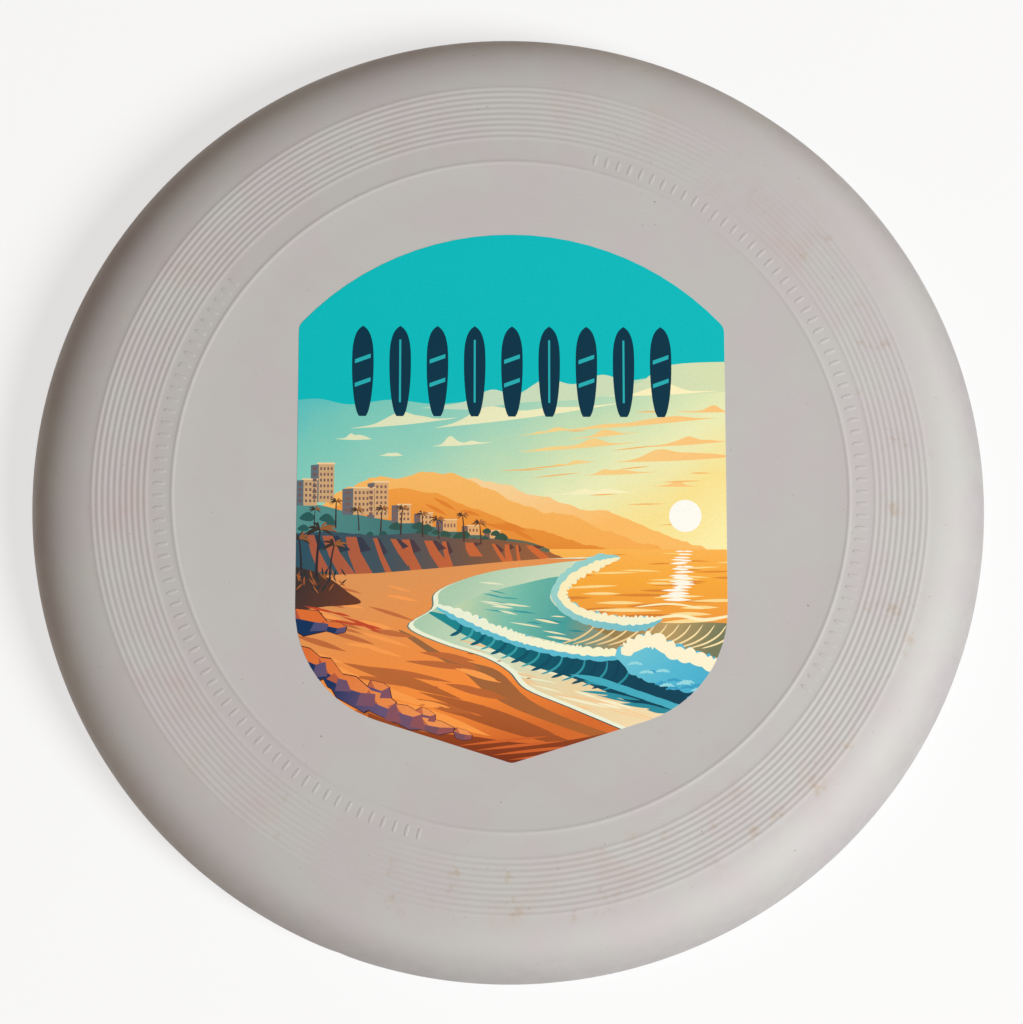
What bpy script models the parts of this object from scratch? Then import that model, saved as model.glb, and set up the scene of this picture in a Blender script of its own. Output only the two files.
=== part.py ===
"""A flying disc: a one-piece moulded plastic disc, with a shield-shaped printed film on its top plate.

Lengths are in metres, with +Z up. The origin is the middle of the circle that the rim rests on, and the
convex side is up. The disc is one turned shell: a flat plate, a raised bead, a gently sloping band that
carries ten concentric ridges, a round shoulder, and a thick rim that is open underneath.
"""

import math

import bpy

MM = 0.001

# Outer side of the disc
RIM_RADIUS = 117.5 * MM
WIDEST_HEIGHT = 8.5 * MM
PLATE_TOP = 26.0 * MM
BAND_SLOPE = 0.07
SHOULDER_START = 98.7 * MM

# Bead around the flat plate
BEAD_RADIUS = 81.3 * MM
BEAD_HALF_WIDTH = 1.0 * MM
BEAD_HEIGHT = 0.25 * MM

# Ridges on the sloping band
RIDGE_COUNT = 10
FIRST_RIDGE_RADIUS = 87.7 * MM
RIDGE_PITCH = 1.43 * MM
RIDGE_HEIGHT = 0.15 * MM

# Rim's foot and hollow underside
REST_RING_OUTER = 115.4 * MM
REST_RING_INNER = 114.1 * MM
OUTER_LIP_HEIGHT = 5.0 * MM
INNER_LIP_HEIGHT = 1.4 * MM
RIM_INNER_RADIUS = 113.4 * MM
INNER_WALL_TOP = 8.0 * MM
PLATE_THICKNESS = 1.8 * MM
PLATE_EDGE_INNER = 79.5 * MM
INNER_POWER = 2.8
LIP_POWER = 2.0

# Moulding gate's nub, in the middle of the underside
NUB_RADIUS = 2.6 * MM
NUB_END_RADIUS = 2.1 * MM
NUB_DROP = 0.6 * MM

# Facets
TURN_STEPS = 60
SHOULDER_STEPS = 8
LIP_STEPS = 3
ARCH_STEPS = 12
CORNER_STEPS = 12
FILLET_STEPS = 3

# Printed film, a shield that sits a little low of the plate's middle
FILM_THICKNESS = 0.1 * MM
FILM_GAP = 0.3 * MM
FILM_SHIFT = -1.25 * MM
SHIELD_HALF_WIDTH = 51.5 * MM
SHIELD_APEX = 64.2 * MM
ARCH_RADIUS = 69.5 * MM
SHIELD_SIDE_FOOT = -27.1 * MM
TOP_CORNER_RADIUS = 3.0 * MM
LOWER_CORNER_RADIUS = 28.0 * MM
KEEL_SLOPE = math.radians(17.5)
TIP_RADIUS = 3.0 * MM


def clear_scene():
    """Remove every object and collection, so that the script gives the same model each time."""
    for item in list(bpy.data.objects):
        bpy.data.objects.remove(item, do_unlink=True)
    for group in list(bpy.data.collections):
        bpy.data.collections.remove(group)


def new_material(name, colour, roughness):
    """A plain Principled BSDF material."""
    material = bpy.data.materials.new(name)
    material.use_nodes = True
    shader = material.node_tree.nodes["Principled BSDF"]
    shader.inputs["Base Color"].default_value = (*colour, 1.0)
    shader.inputs["Roughness"].default_value = roughness
    shader.inputs["Metallic"].default_value = 0.0
    return material


def quarter_curve(start, end, power, share):
    """A point on a rounded quarter, from level at start (share 0) to upright at end (share 1)."""
    angle = share * math.pi / 2
    across = math.sin(angle) ** (2 / power)
    up = math.cos(angle) ** (2 / power)
    return (
        start[0] + (end[0] - start[0]) * across,
        end[1] + (start[1] - end[1]) * up,
    )


def band_height(radius):
    """Height of the sloping band, without its ridges."""
    return PLATE_TOP - BAND_SLOPE * (radius - BEAD_RADIUS)


def shoulder_ellipse():
    """Centre radius, half width and half height of the shoulder's ellipse. It leaves the band without a corner
    and is upright at the widest point."""
    width = RIM_RADIUS - SHOULDER_START
    height = band_height(SHOULDER_START) - WIDEST_HEIGHT
    inset = BAND_SLOPE * width**2 / (height - 2 * BAND_SLOPE * width)
    half_width = width + inset
    half_height = height * half_width / math.sqrt(half_width**2 - inset**2)
    return SHOULDER_START - inset, half_width, half_height


def top_height(radius):
    """Height of the band or of the shoulder, whichever lies at a radius."""
    if radius <= SHOULDER_START:
        return band_height(radius)
    centre, half_width, half_height = shoulder_ellipse()
    return WIDEST_HEIGHT + half_height * math.sqrt(1 - ((radius - centre) / half_width) ** 2)


def bead_points():
    foot = BEAD_RADIUS + BEAD_HALF_WIDTH
    return [
        (BEAD_RADIUS - BEAD_HALF_WIDTH, PLATE_TOP),
        (BEAD_RADIUS, PLATE_TOP + BEAD_HEIGHT),
        (foot, band_height(foot)),
    ]


def ridge_points():
    """A valley before each ridge, its crest, and a last valley after the outermost one."""
    points = []
    for index in range(RIDGE_COUNT):
        crest = FIRST_RIDGE_RADIUS + index * RIDGE_PITCH
        valley = crest - RIDGE_PITCH / 2
        points.append((valley, top_height(valley)))
        points.append((crest, top_height(crest) + RIDGE_HEIGHT))
    return points


def shoulder_points():
    """The smooth part of the shoulder, from the last ridge's foot to the widest point."""
    foot = FIRST_RIDGE_RADIUS + (RIDGE_COUNT - 0.5) * RIDGE_PITCH
    centre, half_width, half_height = shoulder_ellipse()
    first_angle = math.asin((foot - centre) / half_width)
    points = []
    for step in range(SHOULDER_STEPS + 1):
        angle = first_angle + (math.pi / 2 - first_angle) * step / SHOULDER_STEPS
        points.append((centre + half_width * math.sin(angle), WIDEST_HEIGHT + half_height * math.cos(angle)))
    return points


def rim_points():
    """Below the widest point: the round outer lip, the flat ring the disc rests on, and the small inner lip."""
    outer_end = (RIM_RADIUS, OUTER_LIP_HEIGHT)
    inner_end = (RIM_INNER_RADIUS, INNER_LIP_HEIGHT)
    outer, inner = [], []
    for step in range(LIP_STEPS + 1):
        share = step / LIP_STEPS
        outer.append(quarter_curve((REST_RING_OUTER, 0.0), outer_end, LIP_POWER, 1 - share))
        inner.append(quarter_curve((REST_RING_INNER, 0.0), inner_end, LIP_POWER, share))
    return outer + inner


def underside_points():
    """The hollow side, from the inner wall's top up and in to the plate, and the gate's nub."""
    plate_under = PLATE_TOP - PLATE_THICKNESS
    start = (PLATE_EDGE_INNER, plate_under)
    end = (RIM_INNER_RADIUS, INNER_WALL_TOP)
    points = []
    for step in range(SHOULDER_STEPS + 1):
        share = 1 - step / SHOULDER_STEPS
        points.append(quarter_curve(start, end, INNER_POWER, share))
    points.append((NUB_RADIUS, plate_under))
    points.append((NUB_END_RADIUS, plate_under - NUB_DROP))
    return points


def disc_profile():
    """Half of the disc's section, from the top's middle, down the outer side, to the underside's middle."""
    bottom_pole = (0.0, PLATE_TOP - PLATE_THICKNESS - NUB_DROP)
    return (
        [(0.0, PLATE_TOP)]
        + bead_points()
        + ridge_points()
        + shoulder_points()
        + rim_points()
        + underside_points()
        + [bottom_pole]
    )


def make_disc(collection):
    """Turn the section about Z into one closed shell."""
    points = disc_profile()
    mesh = bpy.data.meshes.new("disc_body")
    edges = [(index, index + 1) for index in range(len(points) - 1)]
    mesh.from_pydata([(radius, 0.0, height) for radius, height in points], edges, [])
    disc = bpy.data.objects.new("disc_body", mesh)
    collection.objects.link(disc)
    disc.data.materials.append(new_material("grey_white_plastic", (0.50, 0.47, 0.45), 0.45))
    turn = disc.modifiers.new("Turn", "SCREW")
    turn.axis = "Z"
    turn.angle = 2 * math.pi
    turn.steps = TURN_STEPS
    turn.render_steps = TURN_STEPS
    turn.use_merge_vertices = True
    turn.merge_threshold = 0.00001
    turn.use_smooth_shade = False
    return disc


def arc_points(centre, radius, first_angle, last_angle, steps):
    """Points along an arc, both ends included."""
    points = []
    for step in range(steps + 1):
        angle = first_angle + (last_angle - first_angle) * step / steps
        points.append((centre[0] + radius * math.cos(angle), centre[1] + radius * math.sin(angle)))
    return points


def right_half_of_shield():
    """From the arch's apex, round the top corner, down the side and round the lower corner, to the tip."""
    arch_centre = (0.0, SHIELD_APEX - ARCH_RADIUS)
    top_across = SHIELD_HALF_WIDTH - TOP_CORNER_RADIUS
    top_rise = math.sqrt((ARCH_RADIUS - TOP_CORNER_RADIUS) ** 2 - top_across**2)
    top_centre = (top_across, arch_centre[1] + top_rise)
    arch_end = math.atan2(top_rise, top_across)
    lower_centre = (SHIELD_HALF_WIDTH - LOWER_CORNER_RADIUS, SHIELD_SIDE_FOOT)
    keel_normal = KEEL_SLOPE - math.pi / 2

    points = arc_points(arch_centre, ARCH_RADIUS, math.pi / 2, arch_end, ARCH_STEPS)
    points += arc_points(top_centre, TOP_CORNER_RADIUS, arch_end, 0.0, FILLET_STEPS)[1:]
    points += arc_points(lower_centre, LOWER_CORNER_RADIUS, 0.0, keel_normal, CORNER_STEPS)
    keel_across, keel_along = points[-1]
    tip = keel_along - keel_across * math.tan(KEEL_SLOPE)
    tip_centre = (0.0, tip + TIP_RADIUS / math.cos(KEEL_SLOPE))
    points += arc_points(tip_centre, TIP_RADIUS, keel_normal, -math.pi / 2, FILLET_STEPS)
    return points


def shield_outline():
    """The whole outline, as the right half and its mirror image."""
    right = right_half_of_shield()
    left = [(-across, along) for across, along in reversed(right[1:-1])]
    return right + left


def make_film(collection):
    """The printed film, a flat filled outline of even thickness just over the plate."""
    outline = shield_outline()
    curve = bpy.data.curves.new("printed_artwork", "CURVE")
    curve.dimensions = "2D"
    curve.fill_mode = "BOTH"
    curve.extrude = FILM_THICKNESS / 2
    spline = curve.splines.new("POLY")
    spline.points.add(len(outline) - 1)
    for point, (across, along) in zip(spline.points, outline):
        point.co = (across, along, 0.0, 1.0)
    spline.use_cyclic_u = True
    film = bpy.data.objects.new("printed_artwork", curve)
    film.location = (0.0, FILM_SHIFT, PLATE_TOP + FILM_GAP + FILM_THICKNESS / 2)
    collection.objects.link(film)
    film.data.materials.append(new_material("printed_ink", (0.75, 0.42, 0.20), 0.4))
    return film


def main():
    clear_scene()
    collection = bpy.data.collections.new("flying_disc")
    bpy.context.scene.collection.children.link(collection)
    make_disc(collection)
    make_film(collection)


main()
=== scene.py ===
"""Looks for the flying disc: a fine turned shell with a worn grey-white finish, and a printed picture made
of flat areas of ink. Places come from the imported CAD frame. Lengths are in metres, and in the picture in
millimetres from its middle."""

import random
from collections import namedtuple
from math import asin, atan2, copysign, cos, exp, hypot, pi, radians, sin, sqrt

import bpy
import numpy as np
from mathutils import Matrix, Vector
from mathutils.geometry import delaunay_2d_cdt


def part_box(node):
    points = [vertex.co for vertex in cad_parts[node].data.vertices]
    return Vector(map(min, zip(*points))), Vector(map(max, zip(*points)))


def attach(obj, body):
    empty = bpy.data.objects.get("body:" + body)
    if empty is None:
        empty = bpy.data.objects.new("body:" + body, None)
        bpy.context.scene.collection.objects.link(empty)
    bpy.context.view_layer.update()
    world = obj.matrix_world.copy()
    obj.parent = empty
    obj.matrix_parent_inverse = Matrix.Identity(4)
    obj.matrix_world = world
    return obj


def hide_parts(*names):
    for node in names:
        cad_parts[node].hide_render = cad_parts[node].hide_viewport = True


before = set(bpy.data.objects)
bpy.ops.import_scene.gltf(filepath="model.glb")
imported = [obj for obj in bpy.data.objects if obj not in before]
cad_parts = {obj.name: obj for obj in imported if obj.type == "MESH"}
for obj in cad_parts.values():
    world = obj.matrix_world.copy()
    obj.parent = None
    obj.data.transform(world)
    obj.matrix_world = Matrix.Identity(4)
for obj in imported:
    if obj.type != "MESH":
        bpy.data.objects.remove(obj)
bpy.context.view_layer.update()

MM = 0.001

# ------------ sizes of the turned shell

DISC_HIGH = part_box("disc_body")[1]
FILM_LOW, FILM_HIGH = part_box("printed_artwork")
RIM_RADIUS = DISC_HIGH.x
BEAD_HEIGHT = 0.25 * MM
PLATE_TOP = DISC_HIGH.z - BEAD_HEIGHT
WIDEST_HEIGHT = 8.5 * MM
BAND_SLOPE = 0.07
SHOULDER_START = 98.7 * MM
BEAD_RADIUS = 81.3 * MM
BEAD_HALF_WIDTH = 0.8 * MM
BEAD_RISE = 0.11 * MM
RIDGE_COUNT = 10
FIRST_RIDGE_RADIUS = 87.7 * MM
RIDGE_PITCH = 1.43 * MM
RIDGE_HEIGHT = 0.095 * MM
REST_RING_OUTER = 115.4 * MM
REST_RING_INNER = 114.1 * MM
OUTER_LIP_HEIGHT = 5.0 * MM
INNER_LIP_HEIGHT = 1.4 * MM
LIP_POWER = 2.0
RIM_INNER_RADIUS = 113.4 * MM
INNER_WALL_TOP = 8.0 * MM
PLATE_UNDER = PLATE_TOP - 1.8 * MM
PLATE_EDGE_INNER = 79.5 * MM
INNER_POWER = 2.8
NUB_RADIUS = 2.6 * MM
NUB_DROP = 0.6 * MM
TURN_STEPS = 300
KNOCK_COUNT = 16
KNOCK_REACH = 6.0 * MM

# ------------ materials


class Nodes:
    """A small helper that builds a node material one node at a time."""

    def __init__(self, name):
        self.material = bpy.data.materials.new(name)
        self.material.use_nodes = True
        self.tree = self.material.node_tree
        self.shader = self.tree.nodes["Principled BSDF"]
        self.place = self.add("TexCoord", {}).outputs["Object"]

    def feed(self, node, values):
        """Put numbers, colours or other nodes' outputs into a node's sockets."""
        for key, value in values.items():
            if isinstance(value, bpy.types.NodeSocket):
                self.tree.links.new(value, node.inputs[key])
            else:
                node.inputs[key].default_value = value

    def add(self, kind, values, **settings):
        node = self.tree.nodes.new("ShaderNode" + kind)
        for key, setting in settings.items():
            setattr(node, key, setting)
        self.feed(node, values)
        return node

    def math(self, operation, first, second):
        return self.add("Math", {0: first, 1: second}, operation=operation).outputs[0]

    def times(self, first, second):
        return self.math("MULTIPLY", first, second)

    def vector(self, operation, first, second=(0.0, 0.0, 0.0)):
        return self.add("VectorMath", {0: first, 1: second}, operation=operation)

    def shifted(self, amount):
        """The object's coordinates moved aside, so that a second noise differs from the first."""
        return self.vector("ADD", self.place, (amount, amount * 0.7, amount * 1.3)).outputs["Vector"]

    def flat_radius(self):
        """Distance from the disc's axis."""
        flat = self.vector("MULTIPLY", self.place, (1.0, 1.0, 0.0))
        return self.vector("LENGTH", flat.outputs["Vector"]).outputs["Value"]

    def towards(self, x, y):
        """Distance from the disc's middle along one flat direction."""
        return self.vector("DOT_PRODUCT", self.place, (x, y, 0.0)).outputs["Value"]

    def noise(self, scale, detail=3.0, roughness=0.55, place=None):
        values = {"Vector": place or self.place, "Scale": scale, "Detail": detail, "Roughness": roughness}
        return self.add("TexNoise", values).outputs["Fac"]

    def ramp(self, value, low, high):
        """0 below low, 1 above high, and smooth between."""
        values = {"Value": value, "From Min": low, "From Max": high}
        return self.add("MapRange", values, interpolation_type="SMOOTHSTEP").outputs["Result"]

    def rescaled(self, value, low, high, new_low, new_high):
        """The stretch from low to high, made to run evenly from new_low to new_high."""
        values = {"Value": value, "From Min": low, "From Max": high, "To Min": new_low, "To Max": new_high}
        return self.add("MapRange", values).outputs["Result"]

    def mix(self, factor, first, second, blend="MIX"):
        values = {"Factor": factor, 6: first, 7: second}
        return self.add("Mix", values, data_type="RGBA", blend_type=blend).outputs[2]

    def colours(self, value, codes):
        """A colour scale, with its colours evenly spaced from 0 to 1."""
        node = self.add("ValToRGB", {"Fac": value})
        marks = node.color_ramp.elements
        marks.remove(marks[1])
        first, *others = codes.split()
        marks[0].color = rgb(first)
        for number, code in enumerate(others, 1):
            marks.new(number / len(others)).color = rgb(code)
        return node.outputs["Color"]

    def bump(self, height, strength, distance):
        values = {"Height": height, "Strength": strength, "Distance": distance}
        return self.add("Bump", values).outputs["Normal"]


def rgb(code):
    """A colour's six-figure code, as seen on screen, turned into the linear values that shaders use."""
    linear = []
    for start in (0, 2, 4):
        share = int(code[start:start + 2], 16) / 255
        linear.append(share / 12.92 if share <= 0.04045 else ((share + 0.055) / 1.055) ** 2.4)
    return (*linear, 1.0)


PLASTIC = rgb("bebcbb")
PLASTIC_GREENISH = rgb("bfbfbb")
PLASTIC_PINKISH = rgb("bfbabb")
PLASTIC_SHEEN = 0.25
STAIN_PINK = rgb("c4a69c")
STAIN_TAN = rgb("b0987a")
STAIN_FADE_IN = (84 * MM, 90 * MM)
STAIN_FADE_OUT = (106 * MM, 101 * MM)
# Dark grey-brown: the dirt of the specks, and the painted shade towards the bottom.
GRIME_AND_SHADE = rgb("786c62")
# Painted shade at the rim, partly wear: brown on the shaded upper-left side, grey on the lit lower-right
# side.
RIM_SHADE_BROWN = rgb("9a8470")
RIM_SHADE_GREY = rgb("8a8786")
RIM_WEAR_AND_SHADE_START = 107 * MM
SCRATCH_TURN = 0.7
SCRATCH_STRETCH = 14.0


def plastic_material():
    """Worn grey-white polyethylene: mottled, stained round the shoulder, with specks and fine scratches,
    and with painted shade: a little darker towards the bottom, and a darker rim, brown on its shaded side.
    """
    made = Nodes("worn_plastic")
    clouds = made.noise(55.0, 3.0, 0.55)
    mottle = made.noise(210.0, 3.0, 0.6)
    colour = made.mix(made.ramp(clouds, 0.35, 0.65), PLASTIC_GREENISH, PLASTIC_PINKISH)
    colour = made.mix(made.times(made.ramp(mottle, 0.35, 0.65), 0.35), colour, PLASTIC)

    radius = made.flat_radius()
    on_ridges = made.times(made.ramp(radius, *STAIN_FADE_IN), made.ramp(radius, *STAIN_FADE_OUT))
    pink = made.times(made.ramp(made.noise(62.0, 4.0, 0.65), 0.5, 0.72), on_ridges)
    colour = made.mix(made.times(pink, 0.25), colour, STAIN_PINK)
    # Towards the lower right, the lit side: it places the tan stains, and it turns the rim's painted shade
    # from brown to grey.
    lit_and_stained_side = made.ramp(made.towards(0.8, -0.6), -60 * MM, 70 * MM)
    tan_field = made.ramp(made.noise(150.0, 5.0, 0.7, made.shifted(0.37)), 0.56, 0.72)
    tan_stain = made.times(made.times(tan_field, on_ridges), lit_and_stained_side)
    colour = made.mix(made.times(tan_stain, 0.5), colour, STAIN_TAN)
    # Painted shade: the plastic is a little darker towards the bottom and the lower right.
    bottom_shade = made.ramp(made.towards(0.35, -0.94), 0.0, 80 * MM)
    colour = made.mix(made.times(bottom_shade, 0.07), colour, GRIME_AND_SHADE)

    # Painted shade, partly wear: the rim darkens towards its edge, brown on the shaded side and grey on the
    # lit side.
    patchy = made.math("ADD", made.times(made.ramp(mottle, 0.3, 0.7), 0.2), 0.8)
    rim_wear_and_shade = made.times(made.ramp(radius, RIM_WEAR_AND_SHADE_START, RIM_RADIUS), patchy)
    colour = made.mix(made.times(rim_wear_and_shade, 0.58), colour, made.mix(lit_and_stained_side, RIM_SHADE_BROWN, RIM_SHADE_GREY))
    specks = made.ramp(made.noise(900.0, 2.0, 0.5, made.shifted(0.11)), 0.74, 0.8)
    colour = made.mix(made.times(specks, 0.7), colour, GRIME_AND_SHADE)

    stretch = {"Vector": made.place, "Rotation": (0, 0, SCRATCH_TURN), "Scale": (1, SCRATCH_STRETCH, 1)}
    scratches = made.noise(120.0, 5.0, 0.75, made.add("Mapping", stretch).outputs["Vector"])
    uneven = made.math("ADD", clouds, made.times(scratches, 0.5))
    grain = made.noise(2600.0, 2.0, 0.6)
    height = made.math("ADD", made.times(grain, 0.25), made.times(scratches, 0.75))
    looks = {
        "Base Color": colour,
        "Roughness": made.rescaled(uneven, 0.5, 1.0, 0.48, 0.66),
        "Specular IOR Level": PLASTIC_SHEEN,
        "Normal": made.bump(height, 0.35, 0.12 * MM),
    }
    made.feed(made.shader, looks)
    return made.material


# ------------ turned shell


def quarter(start, end, power, share):
    """A point on a rounded quarter, from level at start (share 0) to upright at end (share 1)."""
    angle = share * pi / 2
    across = sin(angle) ** (2 / power)
    up = cos(angle) ** (2 / power)
    return start[0] + (end[0] - start[0]) * across, end[1] + (start[1] - end[1]) * up


def band_height(radius):
    """Height of the sloping band, without its ridges. Inside the bead it is the flat plate."""
    return PLATE_TOP - BAND_SLOPE * max(0.0, radius - BEAD_RADIUS)


def shoulder_ellipse():
    """Centre radius, half width and half height of the shoulder's ellipse. It meets the band smoothly."""
    width = RIM_RADIUS - SHOULDER_START
    height = band_height(SHOULDER_START) - WIDEST_HEIGHT
    inset = BAND_SLOPE * width**2 / (height - 2 * BAND_SLOPE * width)
    half_width = width + inset
    half_height = height * half_width / sqrt(half_width**2 - inset**2)
    return SHOULDER_START - inset, half_width, half_height


def smooth_height(radius):
    """Height of the band or of the shoulder, whichever lies at a radius."""
    if radius <= SHOULDER_START:
        return band_height(radius)
    centre, half_width, half_height = shoulder_ellipse()
    return WIDEST_HEIGHT + half_height * sqrt(1 - ((radius - centre) / half_width) ** 2)


def wave(offset, width):
    """A round hump, 1 in its middle and 0 half its width away."""
    return 0.5 + 0.5 * cos(2 * pi * max(-0.5, min(0.5, offset / width)))


def top_height(radius):
    """Height of the outer side, with the bead and the ridges."""
    height = smooth_height(radius)
    height += BEAD_RISE * wave(radius - BEAD_RADIUS, 2 * BEAD_HALF_WIDTH)
    along = (radius - FIRST_RIDGE_RADIUS) / RIDGE_PITCH
    if -0.5 <= along <= RIDGE_COUNT - 0.5:
        height += RIDGE_HEIGHT * wave(along - round(along), 1.0)
    return height


def spread(first, last, count):
    return [first + (last - first) * step / count for step in range(count + 1)]


def shell_profile():
    """Half of the section, from the top's middle, down the outer side, to the underside's middle."""
    bead_start, bead_end = BEAD_RADIUS - BEAD_HALF_WIDTH, BEAD_RADIUS + BEAD_HALF_WIDTH
    ridge_start = FIRST_RIDGE_RADIUS - RIDGE_PITCH / 2
    ridge_end = FIRST_RIDGE_RADIUS + (RIDGE_COUNT - 0.5) * RIDGE_PITCH
    radii = spread(0.0, bead_start, 12) + spread(bead_start, bead_end, 10)[1:]
    radii += spread(bead_end, ridge_start, 6)[1:] + spread(ridge_start, ridge_end, 8 * RIDGE_COUNT)[1:]
    points = [(radius, top_height(radius)) for radius in radii]

    centre, half_width, half_height = shoulder_ellipse()
    for angle in spread(asin((ridge_end - centre) / half_width), pi / 2, 28)[1:]:
        height = WIDEST_HEIGHT + half_height * cos(angle)
        points.append((centre + half_width * sin(angle), height))

    ring_outer, ring_inner = (REST_RING_OUTER, 0.0), (REST_RING_INNER, 0.0)
    outer_lip = (RIM_RADIUS, OUTER_LIP_HEIGHT)
    inner_lip = (RIM_INNER_RADIUS, INNER_LIP_HEIGHT)
    points += [quarter(ring_outer, outer_lip, LIP_POWER, share) for share in spread(1.0, 0.0, 12)]
    points += [quarter(ring_inner, inner_lip, LIP_POWER, share) for share in spread(0.0, 1.0, 6)]

    inner_start = (PLATE_EDGE_INNER, PLATE_UNDER)
    inner_end = (RIM_INNER_RADIUS, INNER_WALL_TOP)
    points += [quarter(inner_start, inner_end, INNER_POWER, share) for share in spread(1.0, 0.0, 30)]
    points += [(radius, PLATE_UNDER) for radius in spread(PLATE_EDGE_INNER, NUB_RADIUS * 1.2, 10)[1:]]
    nub = [(1.05, 0.05), (0.98, 0.6), (0.9, 0.9), (0.75, 1.0), (0.4, 1.0), (0.3, 0.8), (0.0, 0.75)]
    points += [(NUB_RADIUS * width, PLATE_UNDER - NUB_DROP * drop) for width, drop in nub]
    return points


def new_object(name, data):
    """An object of its own in the scene."""
    made = bpy.data.objects.new(name, data)
    bpy.context.scene.collection.objects.link(made)
    return made


def mesh_object(name, vertices, faces, material, smooth=False):
    mesh = bpy.data.meshes.new(name)
    mesh.from_pydata(vertices, [], faces)
    mesh.update()
    if smooth:
        mesh.shade_smooth()
    mesh.materials.append(material)
    piece = new_object(name, mesh)
    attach(piece, "root")
    return piece


def turned_mesh(points, steps):
    """Vertices and faces of a closed section turned about Z. The first and last points lie on the axis."""
    ring = points[1:-1]
    vertices = [(0.0, 0.0, points[0][1]), (0.0, 0.0, points[-1][1])]
    for step in range(steps):
        angle = 2 * pi * step / steps
        across, along = cos(angle), sin(angle)
        vertices += [(radius * across, radius * along, height) for radius, height in ring]
    faces = []
    for step in range(steps):
        here = 2 + step * len(ring)
        there = 2 + (step + 1) % steps * len(ring)
        faces.append((0, here, there))
        faces.append((1, there + len(ring) - 1, here + len(ring) - 1))
        for row in range(len(ring) - 1):
            faces.append((here + row, here + row + 1, there + row + 1, there + row))
    return vertices, faces


def dented(vertices):
    """Small knocks around the rim, as soft dents up to 0.3 mm deep."""
    draw = random.Random(5)
    knocks = []
    for _ in range(KNOCK_COUNT):
        angle = radians(draw.uniform(175, 285) if draw.random() < 0.6 else draw.uniform(0, 360))
        radius = RIM_RADIUS - draw.uniform(0.2, 2.0) * MM
        centre = Vector((cos(angle), sin(angle), 0.0)) * radius
        centre.z = draw.uniform(7, 14) * MM
        knocks.append((centre, draw.uniform(1.2, 3.0) * MM, draw.uniform(0.08, 0.3) * MM))
    shaped = []
    for vertex in vertices:
        place = Vector(vertex)
        if place.xy.length > RIM_RADIUS - KNOCK_REACH:
            outward = place.xy.normalized().to_3d()
            for centre, width, depth in knocks:
                apart = (place - centre).length / width
                if apart < 2:
                    place -= outward * depth * exp(-2 * apart * apart)
        shaped.append(place)
    return shaped


def make_shell(material):
    vertices, faces = turned_mesh(shell_profile(), TURN_STEPS)
    shell = mesh_object("disc_shell", dented(vertices), faces, material, smooth=True)
    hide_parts("disc_body")


# ------------ raised ticks beside the bead

TICK_ARCS = ((-34, 76), (143, 256))
TICK_SPACING = 2.0
TICK_INNER = 83.0 * MM
TICK_OUTER = 85.9 * MM
TICK_WIDTH = 0.9 * MM
TICK_RISE = 0.05 * MM
TICK_ROOT = 0.15 * MM


def tick_pad(angle):
    """One raised bar that points to the disc's axis, as a small tapered block rooted in the shell."""
    out = Vector((cos(angle), sin(angle), 0.0))
    side = Vector((-sin(angle), cos(angle), 0.0))
    outline = []
    for corner in range(12):
        turn = 2 * pi * corner / 12
        square = 1 / max(abs(cos(turn)), abs(sin(turn))) ** 0.6
        outline.append((cos(turn) * square, sin(turn) * square))
    middle = (TICK_INNER + TICK_OUTER) / 2
    half_length = (TICK_OUTER - TICK_INNER) / 2
    vertices = []
    for share, rise in ((1.0, -TICK_ROOT), (1.0, 0.0), (0.85, TICK_RISE * 0.75), (0.6, TICK_RISE)):
        for along, across in outline:
            radius = middle + along * (half_length - (1 - share) * TICK_WIDTH / 2)
            place = out * radius + side * across * share * TICK_WIDTH / 2
            place.z = smooth_height(radius) + rise
            vertices.append(place)
    count = len(outline)
    faces = [tuple(range(count))[::-1], tuple(range(3 * count, 4 * count))]
    for level in range(3):
        for corner in range(count):
            here = level * count + corner
            there = level * count + (corner + 1) % count
            faces.append((here, there, there + count, here + count))
    return vertices, faces


def joined(shapes):
    """Several lists of vertices and faces as one."""
    all_vertices, all_faces = [], []
    for vertices, faces in shapes:
        first = len(all_vertices)
        all_vertices += vertices
        all_faces += [tuple(first + index for index in face) for face in faces]
    return all_vertices, all_faces


def make_ticks(material):
    pads = []
    for first, last in TICK_ARCS:
        for step in range(int((last - first) / TICK_SPACING) + 1):
            pads.append(tick_pad(radians(first + step * TICK_SPACING)))
    ticks = mesh_object("raised_ticks", *joined(pads), material, smooth=True)


# ------------ picture: outlines, in millimetres


def rounded(p, q, r, s, share):
    """One coordinate of a smooth curve from q to r, with p before them and s after."""
    bend = 2 * p - 5 * q + 4 * r - s
    twist = 3 * q - p - 3 * r + s
    return 0.5 * (2 * q + (r - p) * share + bend * share**2 + twist * share**3)


def smooth(points, steps=5, closed=False):
    """A rounded line through every point."""
    count = len(points)
    line = []
    for index in range(count if closed else count - 1):
        near = range(index - 1, index + 3)
        if closed:
            four = [points[number % count] for number in near]
        else:
            four = [points[min(max(number, 0), count - 1)] for number in near]
        for step in range(steps):
            line.append(tuple(rounded(*values, step / steps) for values in zip(*four)))
    return line if closed else line + [points[-1]]


def rugged(points, size, vary, rounds=3):
    """A line roughened by moving the middle of each stretch up or down, less at each round."""
    for _ in range(rounds):
        finer = []
        for (x1, y1), (x2, y2) in zip(points, points[1:]):
            finer += [(x1, y1), ((x1 + x2) / 2, (y1 + y2) / 2 + vary(-size, size))]
        points = finer + [points[-1]]
        size *= 0.5
    return points


def under(edge, floor=-80):
    """Everything below an edge that runs from left to right."""
    return edge + [(edge[-1][0], floor), (edge[0][0], floor)]


def circle(x, y, radius):
    turns = spread(0, 2 * pi, 40)[:-1]
    return [(x + radius * cos(turn), y + radius * sin(turn)) for turn in turns]


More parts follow.
